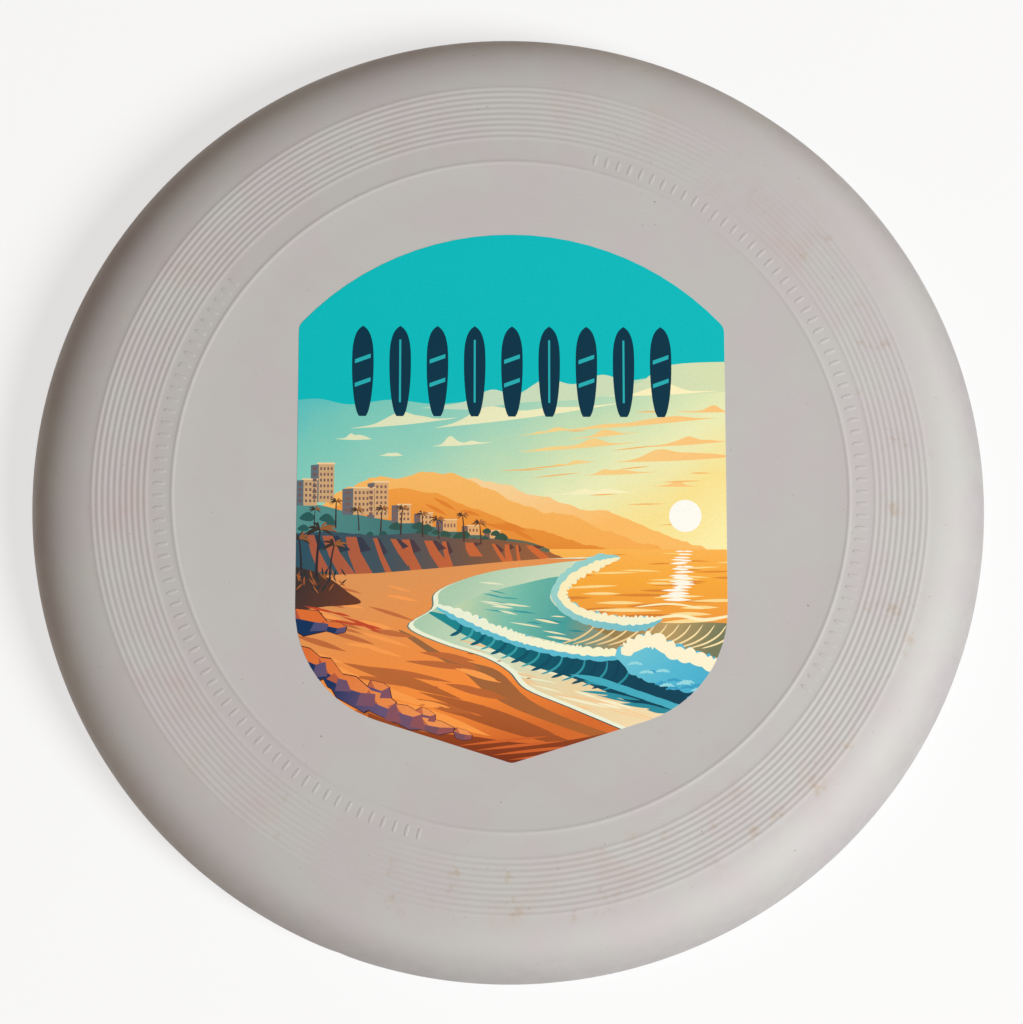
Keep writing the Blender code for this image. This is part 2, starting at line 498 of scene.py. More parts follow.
def turned(shape, x, y, angle):
    """A shape about its own middle, turned and put at a place."""
    cosine, sine = cos(angle), sin(angle)
    return [(x + px * cosine - py * sine, y + px * sine + py * cosine) for px, py in shape]


def arch(share):
    """0 at shares 0 and 1, and 1 half way."""
    return sin(pi * share)


def streak(x, y, length, height, tilt=0):
    """A long thin lens with pointed ends, flatter below than above."""
    top = [(length * (share - 0.5), 0.6 * height * arch(share)) for share in spread(0, 1, 8)]
    low = [(length * (share - 0.5), -0.4 * height * arch(share)) for share in spread(1, 0, 8)]
    return turned(top[:-1] + low[:-1], x, y, radians(tilt))


def wisp(x, y, length, height, tilt, vary):
    """A drawn-out cloud: a flat underside and four soft lumps on top, pointed at both ends."""
    lumps = [(vary(0.25, 0.8), vary(0.08, 0.16), vary(0.5, 1)) for _ in range(4)]
    top = []
    for share in spread(0, 1, 28):
        rise = sum(size * exp(-(((share - middle) / width) ** 2)) for middle, width, size in lumps)
        top.append((length * (share - 0.5), height * (0.12 + 0.5 * rise) * arch(share) ** 0.7))
    low = [(length * (share - 0.5), -0.16 * height * arch(share)) for share in spread(1, 0, 10)]
    return turned(top[:-1] + low[:-1], x, y, radians(tilt))


def line_lengths(path):
    """The distance along a path at each of its points."""
    lengths = [0.0]
    for (x1, y1), (x2, y2) in zip(path, path[1:]):
        lengths.append(lengths[-1] + hypot(x2 - x1, y2 - y1))
    return lengths


def along(path, lengths, distance):
    """The place on a path at a distance along it, and the unit vector to its left there."""
    index = 1
    while lengths[index] < distance and index < len(path) - 1:
        index += 1
    (x1, y1), (x2, y2) = path[index - 1], path[index]
    span = lengths[index] - lengths[index - 1]
    share = (distance - lengths[index - 1]) / span
    left = (-(y2 - y1) / span, (x2 - x1) / span)
    return (x1 + (x2 - x1) * share, y1 + (y2 - y1) * share), left


def lobed_side(path, offset, lobe, depth, vary, taper=0.12):
    """A row of round lobes beside a path, dying out at its ends. A positive offset is to its left."""
    lengths = line_lengths(path)
    total = lengths[-1]
    side, start = [], 0.0
    while start < total - 0.05:
        size = min(lobe * vary(0.45, 1.7), total - start)
        bulge = depth * vary(0.35, 1.1)
        for share in spread(0, 1, 5)[:-1]:
            distance = start + size * share
            fade = min(1, distance / (taper * total), (total - distance) / (taper * total))
            out = (offset + copysign(bulge, offset) * arch(share)) * max(fade, 0) ** 0.6
            (x, y), (nx, ny) = along(path, lengths, distance)
            side.append((x + nx * out, y + ny * out))
        start += size
    return side + [path[-1]]


def foam(points, left, right, lobe, depth, vary, taper=0.12):
    """A band of foam along a curve, with lobes on both sides."""
    path = smooth(points, 6)
    upper = lobed_side(path, left, lobe, depth, vary, taper)
    lower = lobed_side(path, -right, lobe * 1.3, depth * 0.5, vary, taper)
    return upper + lower[-2:0:-1]


def ribbon(points, width, steps=6):
    """A line of even width with pointed ends."""
    path = smooth(points, steps)
    lengths = line_lengths(path)
    total = lengths[-1]
    upper, lower = [], []
    for distance in spread(0, total, 3 * len(points)):
        (x, y), (nx, ny) = along(path, lengths, distance)
        half = width / 2 * sin(pi * distance / total) ** 0.4 if 0 < distance < total else 0.0
        upper.append((x + nx * half, y + ny * half))
        lower.append((x - nx * half, y - ny * half))
    return upper[:-1] + lower[:0:-1]


def moved(points, x, y):
    return [(px + x, py + y) for px, py in points]


# ------------ picture: things in it


def frond(x, y, reach, rise, droop, width):
    """One curved palm leaf from the crown outwards. Its ring runs the same way round on both sides."""
    upper, lower = [], []
    for share in spread(0, 1, 7):
        px = x + reach * share
        py = y + rise * share - droop * share * share
        half = width * arch(min(1, 0.08 + share * 0.92)) ** 0.8
        upper.append((px, py + half * 0.5))
        lower.append((px, py - half))
    ring = upper + lower[-2::-1]
    return ring[::-1] if reach > 0 else ring


def palm(x, y, height, lean, crown, vary):
    """A palm: a slim bent trunk, and nine leaves that arch out of its crown to both sides."""
    trunk = []
    for side, shares in ((1, spread(0, 1, 5)), (-1, spread(1, 0, 5))):
        for share in shares:
            half = height * (0.032 - 0.012 * share)
            trunk.append((x + lean * share * share + side * half, y + height * share))
    leaves = []
    for number in range(9):
        angle = radians(-35 + 250 * number / 8 + vary(-9, 9))
        size = crown * vary(0.85, 1.1)
        reach = size * cos(angle)
        reach = copysign(max(abs(reach), 0.25 * size), reach)
        rise = size * (0.35 + 0.65 * sin(angle))
        leaves.append(frond(x + lean, y + height, reach, rise, size * 0.55, crown * 0.12))
    return trunk, leaves


def block(x, y, width, height):
    return [(x, y), (x + width, y), (x + width, y + height), (x, y + height)]


def tower(x, y, width, height, columns, rows):
    """A plain building: a lit front, a shaded side on its left, a roof edge, and rows of windows."""
    side = width * 0.34
    front = block(x + side, y, width - side, height)
    shade = [(x, y), (x + side, y), (x + side, y + height), (x, y + height * 0.975)]
    roof = block(x + side * 0.8, y + height, width - side * 0.7, height * 0.03 + 0.15)
    step_x = (width - side) / (columns + 0.35)
    step_y = height / (rows + 0.6)
    sills = [y + step_y * (row + 0.6) for row in range(rows)]
    windows = []
    for column in range(columns):
        left = x + side + step_x * (column + 0.4)
        windows += [block(left, sill, step_x * 0.5, step_y * 0.5) for sill in sills]
    windows += [block(x + side * 0.25, sill, side * 0.5, step_y * 0.5) for sill in sills]
    return front, shade, roof, windows


def rock(x, y, width, height, lean, vary):
    """A boulder: its dark border, its body, and on it the lit, the dull and the shaded facets."""
    body = []
    for turn in range(7):
        angle = 2 * pi * (turn + vary(-0.3, 0.3)) / 7
        reach = vary(0.8, 1.15)
        across = width * reach * cos(angle) + lean * sin(angle)
        body.append((x + across, y + height * reach * sin(angle)))
    border = [(x + 1.07 * (px - x), y + 1.07 * (py - y)) for px, py in body]
    first = (x - width * 0.3, y + height * 0.1)
    second = (x + width * 0.3, y - height * 0.1)
    lit = [*body[:3], first, second]
    dull = [body[2], body[3], first]
    shaded = [body[0], second, (x + width * 0.1, y - height * 0.75), body[6]]
    return border, body, lit, dull, shaded


BOARD_HALF = [
    (0, 0.5), (0.2, 0.46), (0.36, 0.39), (0.47, 0.27), (0.5, 0.1), (0.48, -0.1), (0.4, -0.3),
    (0.28, -0.44), (0.16, -0.5),
]


def board(x, y, width, height):
    """An upright surfboard: a pointed nose and a rounder, blunt tail."""
    right = smooth(BOARD_HALF, 3)
    outline = right + [(-px, py) for px, py in reversed(right[1:])]
    return [(x + px * width, y + py * height) for px, py in outline]


def band(x, y, half_width, height, slant):
    """A bar across a surfboard, which rises from left to right by twice the slant."""
    left, right = x - half_width, x + half_width
    return [(left, y - slant), (right, y + slant), (right, y + slant + height), (left, y - slant + height)]


# ------------ picture: layers, from the back to the front

Layer = namedtuple("Layer", "name colours shapes start end")
HORIZON = -12.9
SHORE = [
    (18, -15.3), (8, -16.6), (-3, -18), (-12, -20.4), (-18.6, -23.6), (-19.4, -27.4), (-25, -31.6),
    (-17, -35.6), (-7, -38.8), (-1, -42.2), (3, -46.4), (13, -50.6), (24, -55.2), (40, -62),
]


def paint_sky(paint, vary):
    edge = [
        (-56, 22.4), (-47, 23.4), (-39, 22), (-29, 23.2), (-18, 22.2), (-5, 23.6), (8, 25), (22, 27),
        (38, 29.5), (56, 31),
    ]
    glow = "3abec9 7acdbf 96d5c1 c4e2bb eef1bc fbe796 fef4b0"
    paint("sky_glow", glow, [under(smooth(edge))], (-45, 32), (0, -43))
    top = [
        (-22, 21.2), (-12, 22.6), (-5, 25.8), (1, 24.6), (8, 28.4), (15, 27.2), (22, 29.6), (30, 27.4),
        (38, 32), (56, 33),
    ]
    low = [(56, 26), (44, 25), (30, 25.4), (16, 23.4), (2, 22.6), (-10, 20.8)]
    bank = smooth(top)[:-1] + smooth(low) + [top[0]]
    paint("cloud_band", "c4e0c8 dae5b6", [bank], (-20, 0), (52, 0))
    cream = [
        (-26, 17.5, 26, 2.6, 6), (4, 19.5, 46, 3.2, 8), (36, 25, 28, 2.2, 3), (-38, 13.6, 9, 1.6, 0),
        (-29, 9.6, 6, 1.2, 0), (-12, 12.4, 15, 1.8, 4), (20, 0.6, 22, 1.5, 2), (8, -3.6, 13, 1.1, 1),
    ]
    paint("cloud_cream", "e2eac4 fff7c4", [wisp(*place, vary) for place in cream], (-30, 20), (30, 0))
    peach = [
        (30, 17.4, 40, 2, 5), (40, 9, 32, 2.6, 3), (16, 11.8, 30, 1.8, 5), (26, 5.4, 18, 1.5, 3),
        (14, 7.6, 13, 1, 7), (39, 2.4, 12, 1, 0), (46, 20.6, 14, 1.2, 0), (41, 12.6, 22, 1.6, 4),
        (22, 14.6, 18, 1.2, 6), (8, 15.4, 14, 1, 8),
    ]
    paint("cloud_peach", "f9d88e fec87e", [wisp(*place, vary) for place in peach], (10, 10), (50, 8))
    lines = [streak(vary(2, 46), vary(-8, 22), vary(5, 14), 0.32, vary(0, 7)) for _ in range(14)]
    paint("cloud_lines", "f3be70 fbb868", lines, (0, 0), (50, 0))
    paint("sun", "fffff7", [circle(41.6, -4.8, 3.9)])


def paint_hills(paint, vary):
    far = [(-14, 4), (-4, 3), (4, 0.2), (14, -2.2), (23, -3.6), (33, -8), (42, -11), (47, -13)]
    paint("hills_far", "fbd69c fec068", [under(rugged(far, 0.9, vary))], (0, 4), (6, -13))
    middle = [
        (-50, -6), (-42, 0.5), (-34, 4.2), (-24, 4.8), (-14, 5.4), (-5, 1.4), (3, -2.6), (12, -4.4),
        (22, -8.6), (30, -11.4), (36, -13),
    ]
    paint("hills_middle", "fabe68 fab052", [under(rugged(middle, 1, vary))], (0, 5), (0, -13))
    near = [
        (-48, -6), (-38, 0), (-28, 1.6), (-18, 0.6), (-8, -3.4), (0, -6.8), (10, -9.2), (17, -11.8),
        (23, -13),
    ]
    paint("hills_near", "f5a346 e88e34", [under(rugged(near, 0.8, vary))], (0, 3), (0, -13))
    folds = []
    for _ in range(9):
        x = vary(-24, 8)
        folds.append(streak(x, -7.5 - 0.3 * x + vary(-1.5, 0.5), vary(4, 8), 0.9, vary(-30, -14)))
    paint("hill_folds", "e38430", folds)


def paint_sea(paint, vary):
    water = under([(-12, HORIZON), (56, HORIZON)])
    paint("sea", "fdb854 f9ac3a f3a03e e2a05c", [water], (0, -13), (0, -36))
    stripes = []
    for number in range(46):
        depth = (number + vary(0, 1)) / 46
        y = HORIZON - 0.5 - 17.5 * depth**1.15
        x = vary(2 + 10 * depth, 52)
        length = (5 + 10 * depth) * vary(0.7, 1.5)
        stripes.append(streak(x, y, length, 0.22 + 0.75 * depth, vary(-2, 3)))
    paint("sea_dark", "e89230 d48034", stripes[1::2], (0, -13), (0, -32))
    paint("sea_light", "ffd680 ffe29e", stripes[::2], (0, -13), (0, -32))
    glitter = []
    for row in range(17):
        for _ in range(2):
            width = vary(2, 3.4 + 0.32 * row)
            x = 41.2 + vary(-1.2, 1.2) - 0.1 * row
            y = HORIZON - 0.5 - 0.72 * row + vary(-0.15, 0.15)
            glitter.append(streak(x, y, width, 0.34 + 0.025 * row))
    paint("sun_glitter", "fffcec", glitter)


def paint_town(paint, vary):
    slope = [
        (-56, -1.5), (-46, -2.5), (-38, -4.5), (-30, -6), (-22, -7), (-12, -9), (-4, -10), (4, -11.2),
        (9, -13),
    ]
    paint("town_slope", "569692 3e7070 626c52", [under(smooth(slope))], (-50, 2), (6, -12))
    towers = [
        (-51.6, -2.6, 5, 6.2, 3, 4), (-48.2, -1.8, 5.6, 9.2, 4, 6), (-40.6, -4.8, 7.6, 6.4, 5, 4),
        (-34.6, -5.6, 5, 8.6, 3, 6), (-28.8, -6.8, 4.6, 4.4, 3, 3), (-23.4, -7.6, 4.4, 3.2, 3, 2),
        (-18.2, -8.8, 5, 2.8, 4, 1), (-12, -9.6, 4.2, 2.2, 3, 1), (-6.6, -10.4, 3.8, 1.8, 3, 1),
    ]
    fronts, shades, roofs, windows = zip(*(tower(*place) for place in towers))
    paint("tower_shade", "62707a 785c58", shades, (-50, 0), (0, 0))
    paint("tower_front", "cca87c eab070", fronts, (-50, 0), (0, 0))
    paint("tower_roof", "f3d09e", roofs)
    paint("tower_windows", "705c5c 96684e", sum(windows, []), (-50, 0), (0, 0))
    bush = [(-1, 0), (-0.5, 0.7), (0.3, 0.9), (1, 0.2), (0.4, -0.3)]
    shrubs = []
    for _ in range(26):
        x = vary(-51, 2)
        y = -6.4 - 0.08 * (x + 51) + vary(-2.4, 1.2)
        size = vary(0.8, 2)
        shrubs.append(smooth([(x + px * size, y + py * size) for px, py in bush], 3, True))
    paint("shrubs", "285c5a 3a5442", shrubs, (-50, 0), (0, 0))


def paint_cliff(paint, vary):
    """A cliff with uneven lit faces, each with a dark cleft beside it."""
    rim = [
        (-56, -9.4), (-44, -8.6), (-34, -9.8), (-24, -9.2), (-14, -10.4), (-4, -10.6), (3, -11.4),
        (9, -13.6), (15, -16),
    ]
    face = rugged(rim, 0.5, vary) + [(13, -17.5), (-6, -24), (-56, -24)]
    paint("cliff", "305464 46545c 7a5844 aa6638", [face], (-50, 0), (14, 0))
    lit, deep = [], []
    x = -49.0
    while x < 4:
        top = -9.8 - 0.045 * (x + 47)
        foot = -21.6 + 0.085 * (x + 47) + vary(0, 4)
        middle = (top + foot) / 2
        width = vary(0.5, 2.6)
        lean = vary(0.4, 4.4)
        corner = (x + width, top)
        waist = (x + width + lean * 0.4, middle + 0.8)
        left = [(x, top), (x + lean * 0.5 - width * 0.2, middle)]
        lit.append(left + [(x + lean, foot), (x + lean + width * 1.6, foot), waist, corner])
        deep.append([corner, waist, (x + width * 2 + lean * 0.4, middle + 1.4), (x + width * 1.5, top)])
        x += width + vary(1.2, 4.6)
    paint("cliff_lit", "aa5c42 d66c34", lit, (-45, 0), (10, 0))
    paint("cliff_deep", "223c50 6e3e2e", deep, (-45, 0), (10, 0))


def paint_water(paint, vary):
    bank = [(20, -15.4), (13, -19.5), (11, -24), (17, -28.6), (27, -31.2), (40, -32), (56, -32.6)]
    shallows = smooth(bank) + [(56, -80), (-12, -80), (-28, -38), (-28, -26), (-6, -17.4)]
    paint("shallows", "acd0b2 d2e2c4 ecd6a6 f5deb0", [shallows], (-10, -18), (30, -56))
    bay = [
        (12, -19.6), (2, -21.4), (-8, -24.2), (-15, -28.4), (-4, -31.4), (8, -34.6), (20, -36.8),
        (34, -37.4), (24, -32.4), (14, -29), (9, -24.4),
    ]
    paint("bay", "bed6b0 76c0ac 46a09c a88c5c", [smooth(bay, 5, True)], (-12, -24), (26, -33))
    ripples = []
    for _ in range(24):
        share = vary(0, 1)
        x = -8 + 24 * share + vary(-3, 3)
        y = -23.6 - 10.5 * share + vary(-2.6, 3)
        ripples.append(streak(x, y, vary(3.5, 8.5), vary(0.25, 0.6), -8 + vary(-5, 5)))
    paint("bay_teal", "42a8a8 2c828a", ripples[::2], (-10, 0), (25, 0))
    paint("bay_pale", "e2eccc fae8b4", ripples[1::2], (-10, 0), (25, 0))
    wash = []
    for number in range(34):
        share = number / 34
        x = -14 + 48 * share + vary(-7, 7)
        y = -35.4 - 20 * share + vary(-2, 5)
        wash.append(streak(x, y, vary(5, 15), vary(0.25, 0.7), -14 + vary(-4, 4)))
    paint("wash_peach", "eec896 face98", wash[::2], (-10, -35), (30, -55))
    paint("wash_pale", "deecce fff4ce", wash[1::2], (-10, -35), (30, -55))


def paint_far_wave(paint, vary):
    back = [(13.6, -26.4), (19, -28.4), (28, -29.8), (38, -30.6), (47, -30.4), (56, -31)]
    front = [(46, -38.6), (34, -36.8), (23, -33.6), (16, -30)]
    face = smooth(back) + [(56, -39.5)] + smooth(front)
    paint("far_wave", "c69e5c 927a4a bea068 767c5c", [face], (14, -22), (48, -37))
    swell = [(3.4, 0.2), (1.6, -2.2), (-1.6, -4.2), (-5.6, -5.4)]
    swells = []
    for number in range(13):
        swells.append(ribbon(moved(swell, 17 + 2.8 * number, -30.2 - 0.09 * number), 0.42, 4))
    paint("far_wave_lines", "f0ce8e ffe8b0", swells, (14, 0), (50, 0))
    crest = [
        (26, -14.9), (20, -16.6), (14.4, -19.6), (11.6, -23.6), (14.4, -27.2), (21, -29.6), (30, -30.4),
        (36, -29.4),
    ]
    shade = foam(crest, 0.8, 2, 2, 0.9, vary)
    paint("far_foam_shade", "9cd6ce 76c2ce", [shade], (14, -16), (30, -30))
    paint("far_foam", "fff2be f7f7d6", [foam(crest, 1, 0.5, 1.5, 0.8, vary)], (14, -16), (30, -30))
    long_rim = ribbon([(33, -29.6), (40, -28.8), (46, -29.8), (55, -28.2)], 0.8)
    short_rim = ribbon([(29, -26.8), (38, -26), (46, -27.2)], 0.45)
    paint("far_rim", "fff4c4", [long_rim, short_rim])


def paint_near_wave(paint, vary):
    crest = [(-18.5, -26.4), (-12, -29.2), (-5, -32.4), (3, -35.2), (12, -37.2), (21, -38.2), (29, -38)]
    top = [
        (-21, -27.6), (-12, -29.6), (-3, -33.4), (8, -36.6), (20, -38.4), (31, -38), (42, -44), (47, -49),
    ]
    low = [
        (50, -55), (40, -52.8), (30, -50.2), (22, -46.8), (14, -43.6), (4, -40.6), (-6, -36.2),
        (-12, -33.2),
    ]
    paint("wave_body", "1e8e94 0c707e 054e62 064258", [smooth(top) + smooth(low)], (-18, -28), (30, -44))
    glints, deeps = [], []
    for number in range(16):
        share = number / 15
        size = 0.45 + 0.65 * share
        curl = [(-0.4 * size, -2.0 * size), (-2.6 * size, -4.2 * size), (-6.2 * size, -5.6 * size)]
        curl = moved([(0, 0.8)] + curl, -12 + 40 * share, -31.2 - 9.6 * sin(share * 1.35))
        if number % 2:
            glints.append(ribbon(curl, 0.55, 4))
        else:
            deeps.append(ribbon(curl, 0.9, 4))
    for number in range(10):
        x = 18 + 2.6 * number + vary(-2, 2)
        y = -46 - 0.85 * number + vary(-1.5, 1.5)
        glints.append(streak(x, y, vary(5, 11), vary(0.5, 1.1), vary(-14, -4)))
    paint("wave_deep", "045c70 033a50", deeps, (-10, 0), (30, 0))
    paint("wave_glint", "3aa8b0 288c9e", glints, (-10, 0), (30, 0))
    trough = [streak(20 + 4.4 * number, -44.2 - 1.5 * number, 13, 1.3, -12) for number in range(6)]
    paint("splash_water", "2a9eb4 46b0c4", trough)
    paint("crest_shade", "68c4d6 54bad4", [foam(crest, 0.9, 1.3, 2.2, 0.9, vary)], (-18, 0), (30, 0))
    paint("crest_foam", "ecf6de fff9ce", [foam(crest, 1.3, 0.2, 1.6, 0.8, vary)], (-18, 0), (30, 0))


def paint_splash(paint, vary):
    top = [(24.5, -38.5), (29, -35.6), (33.6, -34.4), (38.4, -36.6), (44, -38.4), (50, -40.4), (56, -43)]
    low = [(56, -50), (48, -47.6), (42, -46.4), (36.5, -45.2), (31.5, -43.6), (27, -41.2)]
    mound = lobed_side(smooth(top), 0.6, 2.2, 1, vary, 0.05)
    mound += lobed_side(smooth(low), 0.4, 2.4, 0.8, vary, 0.05)
    paint("splash", "6ec8da 54bad6 40acce", [mound], (28, -36), (44, -52))
    patches = []
    for _ in range(16):
        x = vary(29, 47)
        y = -38.4 - 0.4 * (x - 29) - vary(1, 4.6)
        patches.append(foam([(x - 1.8, y), (x, y + 0.4), (x + 1.8, y)], 0.25, 0.2, 0.7, 0.3, vary, 0.3))
    paint("splash_shade", "3aa0c6", patches[::2])
    paint("splash_light", "96dce4", patches[1::2])
    cap = [(26, -38), (30, -35.6), (34, -35), (38, -37.4), (43.6, -39), (49, -41.2), (54, -43.6)]
    paint("splash_cap", "fff9c6 fff6d6", [foam(cap, 1.3, 1.3, 1.9, 1.1, vary, 0.06)])


def paint_waves(paint, vary):
    paint_far_wave(paint, vary)
    paint_near_wave(paint, vary)
    paint_splash(paint, vary)


def shore_reach(y):
    """How far right the sand reaches at a height in the picture."""
    reach = 40.0
    for (x1, y1), (x2, y2) in zip(SHORE, SHORE[1:]):
        if y2 <= y <= y1:
            reach = min(reach, x1 + (x2 - x1) * (y1 - y) / (y1 - y2))
    return reach


def paint_beach(paint, vary):
    inland = [
        (40, -80), (-60, -80), (-60, -19.2), (-46, -19.4), (-32, -18.8), (-18, -17.6), (-4, -16.2),
        (8, -15.2),
    ]
    paint("shore_foam", "eef6dc", [smooth(moved(SHORE, 1.5, 0.5)) + inland])
    paint("shore_edge", "5c766c 3a4654", [smooth(moved(SHORE, 0.35, 0.1)) + inland], (0, -20), (20, -56))
    paint("sand", "e29858 f09246 f88e3a d66c2c", [smooth(SHORE) + inland], (-20, -20), (-6, -60))
    damp = [
        (-3, -42.2), (-10, -40), (-17, -37.6), (-23, -34), (-27, -32.4), (-20, -37.6), (-12, -42),
        (-7, -46.4), (-1, -50.2), (9, -54.2), (20, -57.8), (28, -58.6), (14, -53.6), (4, -48.8),
    ]
    paint("damp_sand", "966842 b0622c", [smooth(damp, 4, True)], (0, -34), (0, -58))
    streaks = []
    for number in range(40):
        y = -22.5 - 33 * (number / 40) + vary(-1, 1)
        size = 0.5 + 0.04 * (abs(y) - 22)
        length = vary(7, 17) * size
        x = vary(-48, shore_reach(y - 1) - length * 0.55)
        streaks.append(streak(x, y, length, vary(0.7, 1.7) * size, -12 + vary(-7, 6)))
    paint("sand_shadow", "c47042 b8622c", streaks[1::2], (0, -24), (0, -56))
    paint("sand_light", "faa056 fc9e48", streaks[::2], (0, -24), (0, -56))
    dunes = [(-6, -52, 34, 2.4, -17), (2, -56.2, 34, 2.8, -15), (-26, -44.5, 30, 2.6, -17)]
    paint("dune_shadow", "ba6834 a05024", [streak(*place) for place in dunes], (0, -44), (0, -58))
    tip = [(-34, -52), (-22, -56.2), (-10, -57.4), (2, -59), (12, -58.6), (24, -56.4)]
    paint("tip_shade", "96461e 782e14", [under(smooth(tip), -70)], (0, -56), (0, -64))
    ridges = [streak(-2 + 4 * row, -58.6 - 1.1 * row, 22, 0.7, 6) for row in range(4)]
    paint("tip_lines", "ce622a", ridges)
    marks = [streak(vary(-24, 6), vary(-54, -38), vary(1, 2.2), 0.26, vary(-25, 10)) for _ in range(16)]
    paint("sand_marks", "a8582c", marks)


def paint_foreground(paint, vary):
    bank = [(-56, -17.6), (-48, -18.2), (-43, -20.4), (-39, -23.4), (-36, -26), (-44, -26.8), (-56, -27.4)]
    paint("bank", "3a3232 683a28", [smooth(bank, 4, True)], (-50, -18), (-38, -26))
    grass = [streak(vary(-51, -40), vary(-23, -18), 2.4, 0.4, vary(40, 140)) for _ in range(34)]
    paint("grass", "1e3436", grass[::2])
    paint("grass_lit", "a05c30", grass[1::2])
    red = [streak(vary(-51, -33), -27.6 - vary(0, 4.6), vary(5, 11), 0.6, vary(-24, -8)) for _ in range(12)]
    paint("red_streaks", "c44a2a", red)

    stones = [
        (-42.4, -31.8, 3.4, 1.9, -1.2), (-48.6, -30.2, 5.6, 3.4, -1.6), (-47.6, -40.2, 3.6, 4.6, -2.2),
        (-42.2, -43.4, 3.2, 4.6, -2.4), (-31.6, -46.6, 2.6, 2.6, -1.4), (-37.4, -46.8, 5.2, 4.6, -3),
        (-30.4, -50.6, 3.8, 4.2, -2.6), (-20.2, -52.6, 2.6, 1.8, -1.2), (-24.6, -52.6, 4.2, 3.4, -2.4),
        (-18.4, -55.2, 4.4, 2.4, -2.2), (-11.6, -57, 2.4, 1.4, -0.8),
    ]
    borders, bodies, lights, dulls, shades = zip(*(rock(*place, vary) for place in stones))
    paint("rock_line", "422226", borders)
    paint("rock_body", "10345c 1c3460 685478 7a505c", bodies, (-50, -34), (-18, -56))
    paint("rock_lit", "de7034 f09654", lights, (-46, -34), (-20, -54))
    paint("rock_dull", "b0563c c46c4c", dulls, (-46, -34), (-20, -54))
    paint("rock_edge", "46507a 965454", shades, (-50, -34), (-18, -56))

    palms = [(-50.2, -19.5, 9, -0.6, 3.4), (-46.6, -19.8, 11.5, 0.8, 4), (-43.4, -20.2, 8.2, 1, 3.2)]
    for number in range(9):
        x = -47.5 + 5.1 * number + vary(-1, 1)
        palms.append((x, -7.6 - 0.5 * number, vary(4, 6.8), vary(-0.5, 0.5), vary(1.5, 2.1)))
    trunks, crowns = zip(*(palm(*place, vary) for place in palms))
    paint("palm_trunks", "302c32 56382c", trunks, (-50, 0), (0, 0))
    paint("palm_leaves", "34302c 5c3e2c", sum(crowns, []), (-50, 0), (0, 0))
    paint("palm_lit", "925a32 b26e3a", [leaf for crown in crowns for leaf in crown[1:4]], (-50, 0), (0, 0))


def paint_boards(paint):
    """A frieze of nine upright surfboards across the sky, with inlaid bands."""
    boards, bands = [], []
    for number in range(9):
        x = 9.0 * (number - 4)
        boards.append(board(x, 30.3, 5.2, 22.2))
        if number % 2:
            bands.append(band(x, 22.6, 0.24, 15.4, 0))
        else:
            bands += [band(x, y, 1.9, 1, 0.7) for y in (27, 32.8)]
    paint("boards", "05364a", boards)
    paint("board_bands", "26b2b8", bands)


def paint_picture(shield):
    """The layers, each with its colours along a line from start to end, and the shapes that it fills.
    Every part of the picture draws its random numbers from a seed of its own."""
    layers = []

    def paint(name, colours, shapes, start=(0, 60), end=(0, -60)):
        layers.append(Layer(name, colours, shapes, start, end))

    paint("sky_teal", "04bfc3 02bbbe", [shield])
    parts = (
        (11, paint_sky), (23, paint_hills), (31, paint_sea), (41, paint_town), (47, paint_cliff),
        (53, paint_water), (59, paint_waves), (61, paint_beach), (67, paint_foreground),
    )
    for seed, part in parts:
        part(paint, random.Random(seed).uniform)
    paint_boards(paint)
    return layers


# ------------ picture: sheets of ink

SHIELD_APEX = 64.2
PICTURE_Y = FILM_HIGH.y - SHIELD_APEX * MM
INK_TOP = PLATE_TOP + 0.06 * MM
INK_FOOT = PLATE_TOP - 0.02 * MM
WELD = 0.003
INK_SHEEN = 0.15
INK_GRAIN = rgb("fafafa")


def shield_outline():
    """The print's outline in the picture's own coordinates, from the CAD film's top face."""
    corners = set()
    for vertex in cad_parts["printed_artwork"].data.vertices:
        if vertex.co.z > (FILM_LOW.z + FILM_HIGH.z) / 2:
            corners.add((round(vertex.co.x / MM, 3), round((vertex.co.y - PICTURE_Y) / MM, 3)))
    return sorted(corners, key=lambda corner: atan2(corner[1], corner[0]))


def ink_material(name, colours, start, end):
    """Satin ink that shades from colour to colour along a line across the picture, with a faint grain."""
    made = Nodes(name)
    line = Vector((end[0] - start[0], end[1] - start[1], 0.0)) * MM
    origin = Vector((start[0], start[1], 0.0)) * MM + Vector((0.0, PICTURE_Y, 0.0))
    step = line / line.length_squared
    share = made.math("SUBTRACT", made.towards(step.x, step.y), origin.dot(step))
    drift = made.times(made.math("SUBTRACT", made.noise(70.0), 0.5), 0.12)
    colour = made.colours(made.math("ADD", share, drift), colours)
    grain = made.ramp(made.noise(1500.0, 3.0, 0.65), 0.3, 0.7)
    looks = {
        "Base Color": made.mix(grain, colour, made.mix(1.0, colour, INK_GRAIN, "MULTIPLY")),
        "Roughness": made.rescaled(made.noise(320.0), 0.0, 1.0, 0.4, 0.55),
        "Specular IOR Level": INK_SHEEN,
    }
    made.feed(made.shader, looks)
    return made.material


def inside(places, shape):
    """Which of the places lie inside a closed shape."""
    x, y = places[:, 0], places[:, 1]
    result = np.zeros(len(places), bool)
    for (x1, y1), (x2, y2) in zip(shape, shape[1:] + shape[:1]):
        if y1 != y2:
            crossed = (y1 > y) != (y2 > y)
            result ^= crossed & (x < (x2 - x1) * (y - y1) / (y2 - y1) + x1)
    return result


